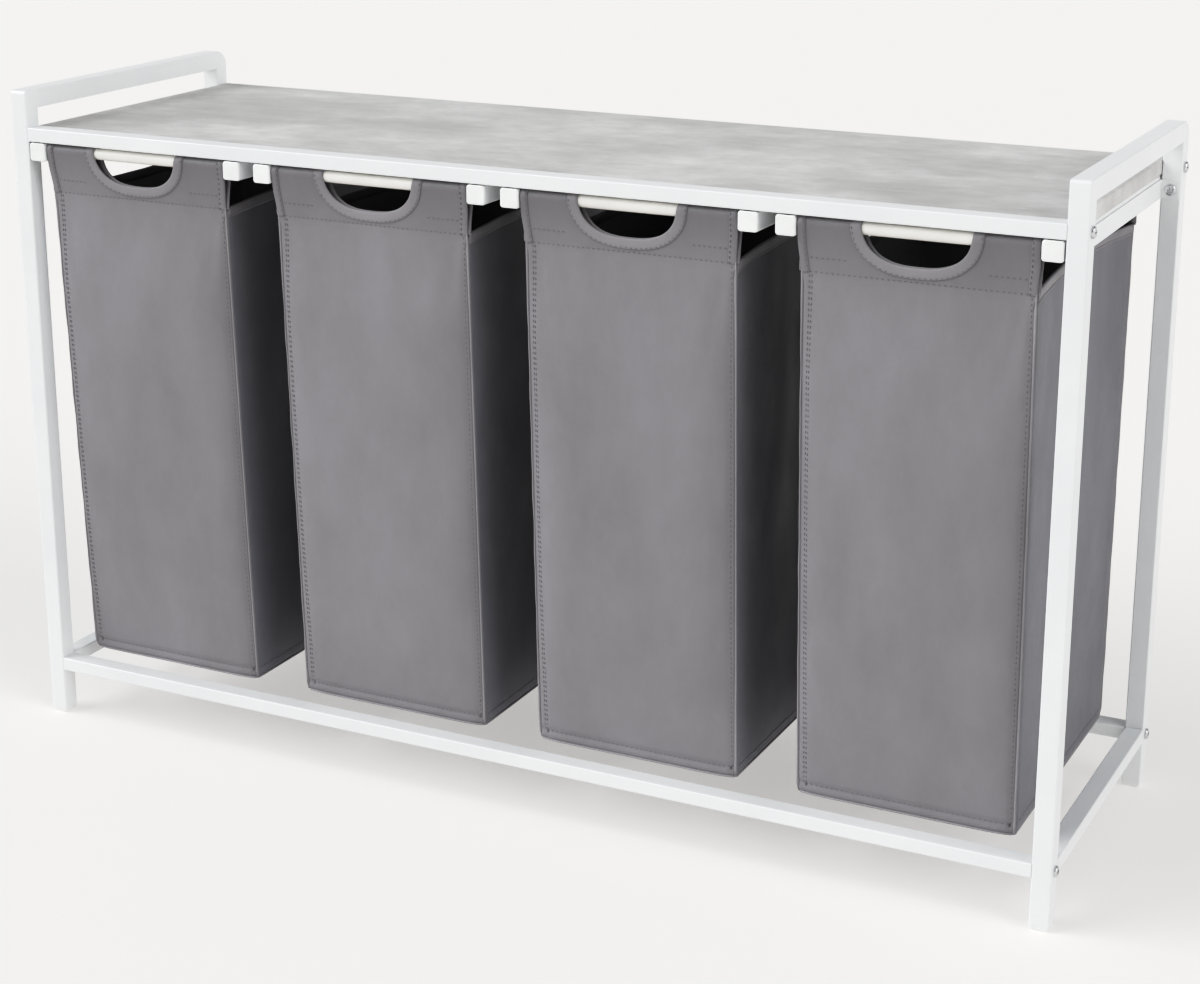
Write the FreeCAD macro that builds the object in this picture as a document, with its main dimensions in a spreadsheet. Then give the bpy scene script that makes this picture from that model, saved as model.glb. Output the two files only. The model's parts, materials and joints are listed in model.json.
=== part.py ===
"""Laundry sorter: a white square-tube frame with a stone-grey top board and four pull-out fabric bags.

Frame of reference: +X along the width, -Y out of the front, +Z up, origin on the floor under the middle.
Every size is in millimetres and stands in the sheet below. Pieces are placed by formulas in its aliases.
"""
import FreeCAD, Part
import os
import re
import Sketcher

from FreeCAD import Vector

SIZES = {
    # the whole frame
    "overall_width": 1180,
    "overall_depth": 370,
    "overall_height": 720,
    "tube_side": 20,
    "tube_wall": 1.5,
    "edge_round": 1.5,
    "rail_height": 15,
    "front_corner_round": 4,
    "rear_corner_round": 17,
    "board_top": 680.5,
    "board_gap": 0.3,
    "board_edge": 0.8,
    "lower_rail_base": 53,
    # feet
    "glide_height": 4.5,
    "glide_side": 18.6,
    "glide_round": 2.5,
    "glide_plug_side": 16.6,
    "glide_plug_height": 9,
    # bolts, and the nuts they run into
    "bolt_shank": 6,
    "bolt_head": 11.5,
    "bolt_head_height": 3.2,
    "bolt_head_round": 1.9,
    "bolt_recess": 5.6,
    "bolt_recess_wide": 1.1,
    "bolt_recess_base": 1.3,
    "bolt_length": 30,
    "bolt_hole": 6.4,
    "nut_length": 12,
    "nut_slack": 0.1,
    "insert_round": 10,
    # side straps between the posts of a side frame
    "strap_thick": 1,
    "strap_height": 19,
    "strap_base": 641.5,
    "strap_reach": 18,
    "strap_bolt_length": 11,
    # bag cells, and their runners
    "cell_count": 4,
    "cell_gap": 17.5,
    "cell_side_clear": 1.6,
    "runner_side": 20,
    "runner_height": 19.5,
    "runner_wall": 1.5,
    "runner_round": 2.5,
    "runner_drop": 1,
    "runner_rear": 178,
    "runner_slot": 9.5,
    "cap_thick": 1.8,
    "cap_round": 3,
    "cap_edge": 1.2,
    "cap_plug_depth": 4.3,
    "cap_plug_slack": 0.1,
    # tracks under the board
    "track_front": 175,
    "track_head_width": 14,
    "track_head_height": 2.3,
    "track_stem_width": 8,
    "track_stem_height": 2.8,
    "tab_thick": 3.5,
    "tab_height": 4.4,
    "tab_clear": 1,
    "screw_shank": 3.5,
    "screw_head": 6.8,
    "screw_length": 15,
    "screw_count": 3,
    "screw_inset": 24,
    "screw_slack": 0.15,
    "slide_travel": 250,
    # bars that carry a bag, and the pegs that hold them
    "bar_round": 12.4,
    "bar_wall": 1,
    "bar_height": 657.3,
    "bar_front": 175.5,
    "bar_rear": 167,
    "bar_end_clear": 0.2,
    "peg_round": 10,
    "peg_length": 12,
    "peg_chamfer": 1,
    "peg_neck": 4,
    "peg_tail": 5,
    "peg_tail_length": 3,
    "peg_slack": 0.1,
    # the bag
    "fabric": 2.5,
    "sleeve_round": 15,
    "sleeve_bore": 13,
    "bag_floor": 77,
    "bag_hem": 610,
    "bag_top_width": 228,
    "bag_floor_width": 224,
    "bag_floor_front": 158,
    "bag_floor_rear": 163,
    "hand_hole_width": 102,
    "hand_hole_depth": 40,
}

LEFT, RIGHT, FRONT, REAR = "left", "right", "front", "rear"
SIGN = {LEFT: -1, RIGHT: 1, FRONT: -1, REAR: 1}
DIRECTIONS = {"x": Vector(1, 0, 0), "y": Vector(0, 1, 0), "z": Vector(0, 0, 1)}
CLOSE = 0.01
ACROSS_PLANE = {"x": "YZ_Plane", "y": "XZ_Plane", "z": "XY_Plane"}

# Formulas that several pieces share.
POST_X = "(overall_width - tube_side) / 2"
POST_Y = "(overall_depth - tube_side) / 2"
CLEAR_WIDTH = "(overall_width - 2 * tube_side)"
CLEAR_DEPTH = "(overall_depth - 2 * tube_side)"
BOARD_BASE = "(board_top - rail_height)"
UPPER_BOLT = "(board_top - rail_height / 2)"
LOWER_BOLT = "(lower_rail_base + rail_height / 2)"
STRAP_BOLT = "(strap_base + strap_height / 2)"
CELL_PITCH = f"(({CLEAR_WIDTH} - 2 * cell_side_clear + cell_gap) / cell_count)"
RUNNER_SPREAD = f"(({CELL_PITCH} - cell_gap - runner_side) / 2)"
RUNNER_BASE = f"({BOARD_BASE} - runner_drop - runner_height)"
TRACK_BASE = f"({BOARD_BASE} - track_stem_height - track_head_height)"
TRACK_LENGTH = "(track_front + runner_rear)"
SCREW_STEP = f"(({TRACK_LENGTH} - 2 * screw_inset) / (screw_count - 1))"
SCREW_HOLE = "screw_shank / 2 + screw_slack"
PILOT_BASE = f"({TRACK_BASE} + screw_slack)"
BAR_Y = {FRONT: "-bar_front", REAR: "bar_rear"}

doc = FreeCAD.newDocument("laundry_sorter")
sheet = doc.addObject("Spreadsheet::Sheet", "Sizes")
for line, (alias, number) in enumerate(SIZES.items(), start=1):
    sheet.set(f"A{line}", alias)
    sheet.set(f"B{line}", str(number))
    sheet.setAlias(f"B{line}", alias)
working = doc.addObject("Spreadsheet::Sheet", "Working")
doc.recompute()

parts = []


# ---------------------------------------------------------------- sizes


def linked(formula):
    """A formula written in aliases, as an expression that reads the sheet."""
    return re.sub(r"[a-z]\w*", lambda word: "Sizes." + word.group(0), str(formula))


def size(formula):
    """The number that a formula in aliases comes to, worked out in a sheet of its own."""
    working.set("A1", f"={linked(formula)}")
    working.recompute()
    return float(working.get("A1"))


def bind(target, **formulas):
    """Binds properties to the sheet, such as Length="overall_width - 2 * tube_side"."""
    for name, formula in formulas.items():
        target.setExpression(name, linked(formula))
    return target


def place(target, x=0, y=0, z=0):
    """Binds where a piece stands to the sheet."""
    for axis, formula in zip("xyz", (x, y, z)):
        target.setExpression(f"Placement.Base.{axis}", linked(formula))
    return target


def signed(end, formula):
    """A formula on the left or front side of the origin, or on the right or rear side."""
    return f"{'-' if SIGN[end] < 0 else ''}({formula})"


def cells():
    """The numbers of the bag cells, from left to right."""
    return range(1, int(size("cell_count")) + 1)


def cell_x(cell):
    """The middle of a bag's cell along X, as a formula."""
    return f"({CELL_PITCH} * ({cell} - (cell_count + 1) / 2))"


def runner_x(cell, side):
    """The middle of a cell's left or right runner along X, as a formula."""
    return f"({cell_x(cell)} {'-' if side == LEFT else '+'} {RUNNER_SPREAD})"


def screw_places():
    """Where a track's screws are along Y: the count of each and a formula."""
    first = "-track_front + screw_inset"
    return [(count, f"{first} + {count} * {SCREW_STEP}") for count in range(int(size("screw_count")))]


# ---------------------------------------------------------------- solids


def keep(piece, label):
    """Names a finished sub-part, which also names its file."""
    piece.Label = label
    parts.append(piece)
    return piece


def sketch_on(body, role, x=0, y=0, z=0):
    """An empty sketch on one of a body's origin planes, moved by formulas along its own axes."""
    plane = next(feature for feature in body.Origin.OriginFeatures if feature.Role == role)
    sketch = body.newObject("Sketcher::SketchObject", "Sketch")
    sketch.AttachmentSupport = [(plane, "")]
    sketch.MapMode = "FlatFace"
    for axis, formula in zip("xyz", (x, y, z)):
        sketch.setExpression(f"AttachmentOffset.Base.{axis}", linked(formula))
    return sketch


def dimension(sketch, kind, ends, formula):
    """A distance constraint that reads the sheet."""
    name = f"{kind}{sketch.ConstraintCount}"
    index = sketch.addConstraint(Sketcher.Constraint(kind, *ends, 5.0))
    sketch.renameConstraint(index, name)
    sketch.setExpression(f"Constraints.{name}", linked(formula))


def add_rectangle(sketch, wide, high, inset=None):
    """A rectangle whose corner is the sketch's origin, or is inset from it along both axes."""
    first = sketch.GeometryCount
    low, top = (1, 4) if inset is None else (2, 3)
    corners = [Vector(low, low), Vector(top, low), Vector(top, top), Vector(low, top)]
    for here, there in zip(corners, corners[1:] + corners[:1]):
        sketch.addGeometry(Part.LineSegment(here, there), False)
    for side, kind in enumerate(("Horizontal", "Vertical", "Horizontal", "Vertical")):
        after = first + (side + 1) % 4
        sketch.addConstraint(Sketcher.Constraint("Coincident", first + side, 2, after, 1))
        sketch.addConstraint(Sketcher.Constraint(kind, first + side))
    if inset is None:
        sketch.addConstraint(Sketcher.Constraint("Coincident", first, 1, -1, 1))
    else:
        dimension(sketch, "DistanceX", (-1, 1, first, 1), inset)
        dimension(sketch, "DistanceY", (-1, 1, first, 1), inset)
    dimension(sketch, "DistanceX", (first, 1, first, 2), wide)
    dimension(sketch, "DistanceY", (first + 1, 1, first + 1, 2), high)


def pad(body, sketch, length, backwards=False):
    """A pad of a sketch. A sketch on the XZ plane faces -Y, so it is padded backwards to grow along +Y."""
    feature = body.newObject("PartDesign::Pad", "Pad")
    feature.Profile = sketch
    feature.Reversed = backwards
    bind(feature, Length=length)
    doc.recompute()
    return feature


def corner_edges(shape, axis):
    """The names of the straight edges along an axis that lie in the corners of a shape's box."""
    box = shape.BoundBox
    limits = {"x": (box.XMin, box.XMax), "y": (box.YMin, box.YMax), "z": (box.ZMin, box.ZMax)}
    names = []
    for number, edge in enumerate(shape.Edges, start=1):
        straight = edge.Curve.TypeId == "Part::GeomLine"
        if not straight or abs(edge.tangentAt(0).dot(DIRECTIONS[axis])) < 1 - CLOSE:
            continue
        middle = edge.CenterOfMass
        gaps = [min(abs(getattr(middle, k) - end) for end in limits[k]) for k in limits if k != axis]
        if max(gaps) < CLOSE:
            names.append(f"Edge{number}")
    return names


def rounded(body, feature, names, radius):
    """A fillet on some of a feature's edges."""
    fillet = body.newObject("PartDesign::Fillet", "Fillet")
    fillet.Base = (feature, names)
    bind(fillet, Radius=radius)
    doc.recompute()
    return fillet


def tube(label, axis, wide, high, length, x, y, z):
    """A rectangular tube that starts at a corner: wide and high are its section, in the row's axis order."""
    body = doc.addObject("PartDesign::Body", label)
    sketch = sketch_on(body, ACROSS_PLANE[axis])
    add_rectangle(sketch, wide, high)
    add_rectangle(sketch, f"{wide} - 2 * tube_wall", f"{high} - 2 * tube_wall", inset="tube_wall")
    walls = pad(body, sketch, length, backwards=axis == "y")
    rounded(body, walls, corner_edges(walls.Shape, axis), "edge_round")
    return place(body, x, y, z)


def box(name, length, width, height, x, y, z):
    """A plain block from its lowest corner."""
    block = bind(doc.addObject("Part::Box", name), Length=length, Width=width, Height=height)
    return place(block, x, y, z)


def rod(name, radius, length, axis, x, y, z):
    """A round bar that starts at a point and runs along +X, +Y or +Z."""
    bar = bind(doc.addObject("Part::Cylinder", name), Radius=radius, Height=length)
    bar.Placement.Rotation = FreeCAD.Rotation(DIRECTIONS["z"], DIRECTIONS[axis])
    return place(bar, x, y, z)


def tapered(name, high, floor, top, x, z):
    """A block that widens from a floor outline to a top one: each is its half width, front and rear."""
    wedge = bind(doc.addObject("Part::Wedge", name), Ymin=0, Ymax=high)
    for mark, (half, front, rear) in (("", floor), ("2", top)):
        across = {f"X{mark}min": f"-({half})", f"X{mark}max": half}
        bind(wedge, **across, **{f"Z{mark}min": f"-({rear})", f"Z{mark}max": f"-({front})"})
    wedge.Placement.Rotation = FreeCAD.Rotation(DIRECTIONS["x"], 90)
    return place(wedge, x, 0, z)


def fused(name, shapes):
    """One solid out of several."""
    union = doc.addObject("Part::MultiFuse", name)
    union.Shapes = shapes
    union.Refine = True
    return union


def less(label, base, tools):
    """A piece less its holes and hollows."""
    difference = doc.addObject("Part::Cut", label)
    difference.Base = base
    difference.Tool = tools[0] if len(tools) == 1 else fused(f"{label}_tools", tools)
    return difference


# ---------------------------------------------------------------- frame


def post(side, end):
    """A post with its bolt holes: right through at both cross rails, and in the strap's wall only."""
    label = f"{side}_{end}_post"
    x, y = signed(side, POST_X), signed(end, POST_Y)
    corner = (f"{x} - tube_side / 2", f"{y} - tube_side / 2", "glide_height")
    length = "overall_height - tube_side - glide_height"
    solid = tube(f"{label}_tube", "z", "tube_side", "tube_side", length, *corner)
    across = (f"{x} - tube_side / 2 - 1", y)
    holes = [
        rod(f"{label}_upper_hole", "bolt_hole / 2", "tube_side + 2", "x", *across, UPPER_BOLT),
        rod(f"{label}_lower_hole", "bolt_hole / 2", "tube_side + 2", "x", *across, LOWER_BOLT),
    ]
    inner_y = y if end == FRONT else f"{y} - tube_side"
    holes.append(rod(f"{label}_strap_hole", "bolt_hole / 2", "tube_side", "y", x, inner_y, STRAP_BOLT))
    return keep(less(label, solid, holes), label)


def middle(feature, name):
    """The middle of one of a feature's edges."""
    return feature.Shape.getElement(name).CenterOfMass


def top_rail(side):
    """The rail over a side frame: a tight corner at the front, a wide one at the rear, hollow between."""
    label = f"{side}_top_rail"
    body = doc.addObject("PartDesign::Body", label)
    sketch = sketch_on(body, "YZ_Plane")
    add_rectangle(sketch, "overall_depth", "tube_side")
    shape = pad(body, sketch, "tube_side")
    for pick, radius in ((min, "front_corner_round"), (max, "rear_corner_round")):
        upper = [name for name in corner_edges(shape.Shape, "x") if middle(shape, name).z > 1]
        shape = rounded(body, shape, [pick(upper, key=lambda name: middle(shape, name).y)], radius)
    numbered = enumerate(shape.Shape.Edges, start=1)
    rims = [f"Edge{n}" for n, edge in numbered if edge.CenterOfMass.z > 1 and edge.BoundBox.XLength < CLOSE]
    shape = rounded(body, shape, rims, "edge_round")
    hollow_sketch = sketch_on(body, "YZ_Plane", "rear_corner_round", "tube_wall", "tube_wall")
    add_rectangle(hollow_sketch, "overall_depth - 2 * rear_corner_round", "tube_side - 2 * tube_wall")
    hollow = body.newObject("PartDesign::Pocket", "Pocket")
    hollow.Profile = hollow_sketch
    hollow.Reversed = True
    bind(hollow, Length="tube_side - 2 * tube_wall")
    doc.recompute()
    if hollow.Shape.Volume >= shape.Shape.Volume:
        raise RuntimeError(f"{label} isn't hollow")
    start = f"{signed(side, POST_X)} - tube_side / 2"
    place(body, start, "-overall_depth / 2", "overall_height - tube_side")
    return keep(body, label)


def side_frame(side):
    """Two posts, a rounded rail over them and a low rail between them, welded together."""
    post(side, FRONT)
    post(side, REAR)
    top_rail(side)
    label = f"{side}_bottom_rail"
    corner = (f"{signed(side, POST_X)} - tube_side / 2", f"-{CLEAR_DEPTH} / 2", "lower_rail_base")
    keep(tube(label, "y", "tube_side", "rail_height", CLEAR_DEPTH, *corner), label)


def cross_rails():
    """The three tube rails along X between the side frames."""
    for label, end, z in (
        ("top_front_rail", FRONT, BOARD_BASE),
        ("bottom_front_rail", FRONT, "lower_rail_base"),
        ("bottom_rear_rail", REAR, "lower_rail_base"),
    ):
        corner = (f"-{CLEAR_WIDTH} / 2", f"{signed(end, POST_Y)} - tube_side / 2", z)
        keep(tube(label, "x", "tube_side", "rail_height", CLEAR_WIDTH, *corner), label)


def top_board():
    """The board behind the top front rail, drilled for its two end inserts and for the track screws."""
    body = doc.addObject("PartDesign::Body", "board_panel")
    sketch = sketch_on(body, "XY_Plane")
    add_rectangle(sketch, f"{CLEAR_WIDTH} - 2 * board_gap", "overall_depth - tube_side - board_gap")
    panel = pad(body, sketch, "rail_height")
    rounded(body, panel, [f"Edge{n}" for n in range(1, len(panel.Shape.Edges) + 1)], "board_edge")
    place(body, f"-{CLEAR_WIDTH} / 2 + board_gap", "-overall_depth / 2 + tube_side + board_gap", BOARD_BASE)
    holes = []
    for side in (LEFT, RIGHT):
        start = f"-{CLEAR_WIDTH} / 2 - 1" if side == LEFT else f"{CLEAR_WIDTH} / 2 + 1 - bolt_length"
        bore = ("insert_round / 2", "bolt_length", "x")
        holes.append(rod(f"{side}_insert_hole", *bore, start, POST_Y, UPPER_BOLT))
        for cell in cells():
            for count, y in screw_places():
                name = f"{side}_pilot_{cell}_{count}"
                holes.append(rod(name, SCREW_HOLE, "screw_length", "z", runner_x(cell, side), y, PILOT_BASE))
    keep(less("top_board", body, holes), "top_board")


def side_strap(side):
    """A strap along the inner side of a side frame, its ends bent out onto the two posts."""
    label = f"{side}_side_strap"
    inner = f"{CLEAR_WIDTH} / 2"
    web_x = f"-({inner})" if side == LEFT else f"{inner} - strap_thick"
    flange_x = f"-({inner}) - strap_reach" if side == LEFT else f"{inner} - strap_thick"
    size_y = (CLEAR_DEPTH, "strap_height")
    metal = [box(f"{label}_web", "strap_thick", *size_y, web_x, f"-{CLEAR_DEPTH} / 2", "strap_base")]
    holes = []
    for end in (FRONT, REAR):
        y = f"-{CLEAR_DEPTH} / 2" if end == FRONT else f"{CLEAR_DEPTH} / 2 - strap_thick"
        flange = ("strap_reach + strap_thick", "strap_thick", "strap_height")
        metal.append(box(f"{label}_{end}", *flange, flange_x, y, "strap_base"))
        start = (signed(side, POST_X), f"{y} - strap_thick", STRAP_BOLT)
        holes.append(rod(f"{label}_{end}_hole", "bolt_hole / 2", "3 * strap_thick", "y", *start))
    keep(less(label, fused(f"{label}_metal", metal), holes), label)


def track(cell, side):
    """A T-shaped track under the board, its head down, with a stop tab and countersunk screw holes."""
    label = f"{side}_track_{cell}"
    x = runner_x(cell, side)
    stem_z = f"{BOARD_BASE} - track_stem_height"
    tab_y = "bar_rear - slide_travel - peg_tail / 2 - tab_clear - tab_thick"
    tab_z = f"{TRACK_BASE} - tab_height"
    metal = []
    for name, wide, long, high, y, z in (
        ("head", "track_head_width", TRACK_LENGTH, "track_head_height", "-track_front", TRACK_BASE),
        ("stem", "track_stem_width", TRACK_LENGTH, "track_stem_height", "-track_front", stem_z),
        ("tab", "track_head_width", "tab_thick", "tab_height", tab_y, tab_z),
    ):
        metal.append(box(f"{label}_{name}", wide, long, high, f"{x} - {wide} / 2", y, z))
    holes = []
    for count, y in screw_places():
        through = "track_head_height + track_stem_height + 2"
        holes.append(rod(f"{label}_hole_{count}", SCREW_HOLE, through, "z", x, y, f"{TRACK_BASE} - 1"))
        sink = doc.addObject("Part::Cone", f"{label}_sink_{count}")
        bind(sink, Radius1="screw_head / 2 + screw_slack", Radius2=SCREW_HOLE, Height="track_head_height")
        holes.append(place(sink, x, y, TRACK_BASE))
    keep(less(label, fused(f"{label}_metal", metal), holes), label)


# ---------------------------------------------------------------- what slides


def runner(cell, side):
    """A square tube with a slot along its top, and a hole for each peg in its inner wall."""
    label = f"{side}_runner_{cell}"
    x = runner_x(cell, side)
    front = "(-overall_depth / 2 + cap_thick)"
    long = f"(runner_rear - {front})"
    corner = (f"{x} - runner_side / 2", front, RUNNER_BASE)
    outer = box(f"{label}_block", "runner_side", long, "runner_height", *corner)
    doc.recompute()
    shell = doc.addObject("Part::Fillet", f"{label}_shell")
    shell.Base = outer
    radius = size("runner_round")
    shell.Edges = [(int(name[len("Edge"):]), radius, radius) for name in corner_edges(outer.Shape, "y")]
    inside = ("runner_side - 2 * runner_wall", f"{long} + 2", "runner_height - 2 * runner_wall")
    inside_at = (f"{x} - runner_side / 2 + runner_wall", f"{front} - 1", f"{RUNNER_BASE} + runner_wall")
    slot = ("runner_slot", f"{long} + 2", "3 * runner_wall")
    slot_at = (f"{x} - runner_slot / 2", f"{front} - 1", f"{RUNNER_BASE} + runner_height - 2 * runner_wall")
    tools = [box(f"{label}_inside", *inside, *inside_at), box(f"{label}_slot", *slot, *slot_at)]
    inward = "+" if side == LEFT else "-"
    wall_x = f"{x} {inward} (runner_side - runner_wall) / 2 - runner_wall"
    for end, y in BAR_Y.items():
        start = (wall_x, y, "bar_height")
        tools.append(rod(f"{label}_{end}_hole", "peg_neck / 2 + peg_slack", "2 * runner_wall", "x", *start))
    keep(less(label, shell, tools), label)


def bar(cell, end):
    """A round tube across a bag unit, pushed onto a peg at each end."""
    label = f"{end}_bar_{cell}"
    half = f"({RUNNER_SPREAD} - runner_side / 2 - bar_end_clear)"
    start = (f"{cell_x(cell)} - {half}", BAR_Y[end], "bar_height")
    solid = rod(f"{label}_rod", "bar_round / 2", f"2 * {half}", "x", *start)
    bore = rod(f"{label}_bore", "bar_round / 2 - bar_wall", f"2 * {half}", "x", *start)
    keep(less(label, solid, [bore]), label)


def bag(cell):
    """A deep fabric bag: open at the top, with a sleeve over each bar and lower side panels between."""
    label = f"laundry_bag_{cell}"
    x = cell_x(cell)
    half = "bag_top_width / 2"
    faces = {end: f"{y} {'-' if end == FRONT else '+'} sleeve_round / 2" for end, y in BAR_Y.items()}
    floor = ("bag_floor_width / 2", "-bag_floor_front", "bag_floor_rear")
    inner_floor = ("bag_floor_width / 2 - fabric", "-bag_floor_front + fabric", "bag_floor_rear - fabric")
    hem = (half, faces[FRONT], faces[REAR])
    inner_hem = (f"{half} - fabric", f"{faces[FRONT]} + fabric", f"{faces[REAR]} - fabric")
    deep = "bag_hem - bag_floor"
    outside = tapered(f"{label}_outside", deep, floor, hem, x, "bag_floor")
    inside = tapered(f"{label}_inside", f"{deep} - fabric", inner_floor, inner_hem, x, "bag_floor + fabric")
    fabric = [less(f"{label}_walls", outside, [inside])]
    bores = []
    for end, y in BAR_Y.items():
        inward = "+" if end == FRONT else "-"
        layers = sorted([faces[end], f"{faces[end]} {inward} fabric"], key=size)
        folds = sorted([faces[end], f"{y} {inward} sleeve_round / 2"], key=size)
        rise = "bar_height - bag_hem"
        fabric.append(tapered(f"{label}_{end}_drop", rise, (half, *layers), (half, *folds), x, "bag_hem"))
        start = (f"{x} - {half}", y, "bar_height")
        fabric.append(rod(f"{label}_{end}_fold", "sleeve_round / 2", "bag_top_width", "x", *start))
        bores.append(rod(f"{label}_{end}_bore", "sleeve_bore / 2", "bag_top_width", "x", *start))
    keep(less(label, fused(f"{label}_fabric", fabric), [*bores, hand_holes(label, x)]), label)


def hand_holes(label, x):
    """A cutter for the half-oval hand holes, from the sleeves' tops down and right through the bag."""
    oval = doc.addObject("Part::Ellipse", f"{label}_oval")
    bind(oval, MajorRadius="hand_hole_width / 2", MinorRadius="hand_hole_depth")
    oval.Placement.Rotation = FreeCAD.Rotation(DIRECTIONS["x"], 90)
    place(oval, x, "overall_depth / 2", "bar_height + sleeve_round / 2")
    through = doc.addObject("Part::Extrusion", f"{label}_hand_holes")
    through.Base = oval
    through.DirMode = "Custom"
    through.Dir = Vector(0, -1, 0)
    through.Solid = True
    return bind(through, LengthFwd="overall_depth")


# ---------------------------------------------------------------- small identical pieces


def turned(x, y, z, direction=DIRECTIONS["z"]):
    """A placement that turns +Z to a direction and moves the origin to a point."""
    return FreeCAD.Placement(Vector(x, y, z), FreeCAD.Rotation(DIRECTIONS["z"], direction))


def group(label, shape, placements):
    """Identical small pieces, as separate solids of one sub-part."""
    feature = doc.addObject("Part::Feature", label)
    feature.Shape = Part.makeCompound([shape.transformed(at.toMatrix()) for at in placements])
    return keep(feature, label)


def block(wide, deep, high, z=0):
    """A block on the Z axis, from a height up."""
    return Part.makeBox(wide, deep, high, Vector(-wide / 2, -deep / 2, z))


def upright_edges(shape):
    """A shape's edges along Z."""
    return [edge for edge in shape.Edges if edge.BoundBox.ZLength > shape.BoundBox.ZLength / 2]


def level_edges(shape, z):
    """A shape's edges that lie at one height."""
    def off(edge):
        return max(abs(edge.BoundBox.ZMin - z), abs(edge.BoundBox.ZMax - z))
    return [edge for edge in shape.Edges if off(edge) < CLOSE]


def bolt(length):
    """A domed bolt with a cross recess: its head stands on +Z and its shank hangs from the origin."""
    high = size("bolt_head_height")
    head = Part.makeCylinder(size("bolt_head") / 2, high)
    head = head.makeFillet(size("bolt_head_round"), level_edges(head, high))
    long, wide, base = size("bolt_recess"), size("bolt_recess_wide"), size("bolt_recess_base")
    cross = block(long, wide, high, base).fuse(block(wide, long, high, base))
    return head.cut(cross).fuse(Part.makeCylinder(size("bolt_shank") / 2, length, Vector(0, 0, -length)))


def bolts():
    """Eight bolts in from the sides, into the cross rails and the board, and four that hold the straps."""
    face, deep, across = size("overall_width / 2"), size(POST_Y), size(POST_X)
    into_rails = [
        turned(sx * face, sy * deep, size(z), Vector(sx, 0, 0))
        for sx in (-1, 1) for sy in (-1, 1) for z in (UPPER_BOLT, LOWER_BOLT)
    ]
    group("frame_bolts", bolt(size("bolt_length")), into_rails)
    flange = size(f"{CLEAR_DEPTH} / 2 - strap_thick")
    on_straps = [
        turned(sx * across, sy * flange, size(STRAP_BOLT), Vector(0, -sy, 0))
        for sx in (-1, 1) for sy in (-1, 1)
    ]
    group("strap_bolts", bolt(size("strap_bolt_length")), on_straps)


def nuts():
    """A threaded block in each end of the tube rails, and two threaded inserts in the board's ends."""
    slack, long = size("nut_slack"), size("nut_length")
    inside = size("2 * tube_wall + 2 * nut_slack")
    thread = Part.makeCylinder(size("bolt_shank") / 2 + slack, long)
    nut = block(size("rail_height") - inside, size("tube_side") - inside, long)
    nut = nut.makeFillet(size("edge_round"), upright_edges(nut)).cut(thread)
    end, deep = size(f"{CLEAR_WIDTH} / 2"), size(POST_Y)
    upper, lower = size(UPPER_BOLT), size(LOWER_BOLT)
    rail_ends = [
        turned(sx * end, y, z, Vector(-sx, 0, 0))
        for sx in (-1, 1) for y, z in ((-deep, upper), (-deep, lower), (deep, lower))
    ]
    group("rail_end_nuts", nut, rail_ends)
    insert = Part.makeCylinder(size("insert_round") / 2 - slack, long).cut(thread)
    start = end - size("board_gap + board_edge")
    group("board_inserts", insert, [turned(sx * start, deep, upper, Vector(-sx, 0, 0)) for sx in (-1, 1)])


def glides():
    """A rounded plastic foot under each post, with a plug up inside it."""
    high = size("glide_height")
    foot = block(size("glide_side"), size("glide_side"), high)
    foot = foot.makeFillet(size("glide_round"), upright_edges(foot))
    foot = foot.makeFillet(size("edge_round"), level_edges(foot, 0))
    plug = size("glide_plug_side")
    foot = foot.fuse(block(plug, plug, size("glide_plug_height"), high))
    across, deep = size(POST_X), size(POST_Y)
    group("foot_glides", foot, [turned(sx * across, sy * deep, 0) for sx in (-1, 1) for sy in (-1, 1)])


def track_screws():
    """The countersunk screws that hold the tracks up to the board."""
    taper = size("track_head_height - 2 * screw_slack")
    screw = Part.makeCone(size("screw_head") / 2, size("screw_shank") / 2, taper)
    screw = screw.fuse(Part.makeCylinder(size("screw_shank") / 2, size("screw_length")))
    places = [
        turned(size(runner_x(cell, side)), size(y), size(TRACK_BASE))
        for cell in cells() for side in (LEFT, RIGHT) for _, y in screw_places()
    ]
    group("track_screws", screw, places)


def runner_caps(cell):
    """The rounded plastic plug in the front end of each runner of a bag unit."""
    thick = size("cap_thick")
    cap = block(size("runner_side"), size("runner_height"), thick)
    cap = cap.makeFillet(size("cap_round"), upright_edges(cap))
    cap = cap.makeFillet(size("cap_edge"), level_edges(cap, thick))
    inside = size("2 * runner_wall + 2 * cap_plug_slack")
    deep = size("cap_plug_depth")
    cap = cap.fuse(block(size("runner_side") - inside, size("runner_height") - inside, deep, -deep))
    y, z = size("-overall_depth / 2 + cap_thick"), size(f"{RUNNER_BASE} + runner_height / 2")
    places = [turned(size(runner_x(cell, side)), y, z, Vector(0, -1, 0)) for side in (LEFT, RIGHT)]
    group(f"runner_caps_{cell}", cap, places)


def bar_pegs(cell):
    """The pegs under a bag unit's bar ends, each riveted through the inner wall of a runner."""
    long, neck = size("peg_length"), size("runner_wall + peg_slack")
    peg = Part.makeCylinder(size("peg_round") / 2, long)
    peg = peg.makeChamfer(size("peg_chamfer"), level_edges(peg, long))
    peg = peg.fuse(Part.makeCylinder(size("peg_neck") / 2, neck, Vector(0, 0, -neck)))
    tail = size("peg_tail_length")
    peg = peg.fuse(Part.makeCylinder(size("peg_tail") / 2, tail, Vector(0, 0, -neck - tail)))
    places = []
    for side in (LEFT, RIGHT):
        inward = -SIGN[side]
        x = size(runner_x(cell, side)) + inward * size("runner_side / 2")
        places += [turned(x, size(y), size("bar_height"), Vector(inward, 0, 0)) for y in BAR_Y.values()]
    group(f"bar_pegs_{cell}", peg, places)


# ---------------------------------------------------------------- the whole sorter

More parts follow.
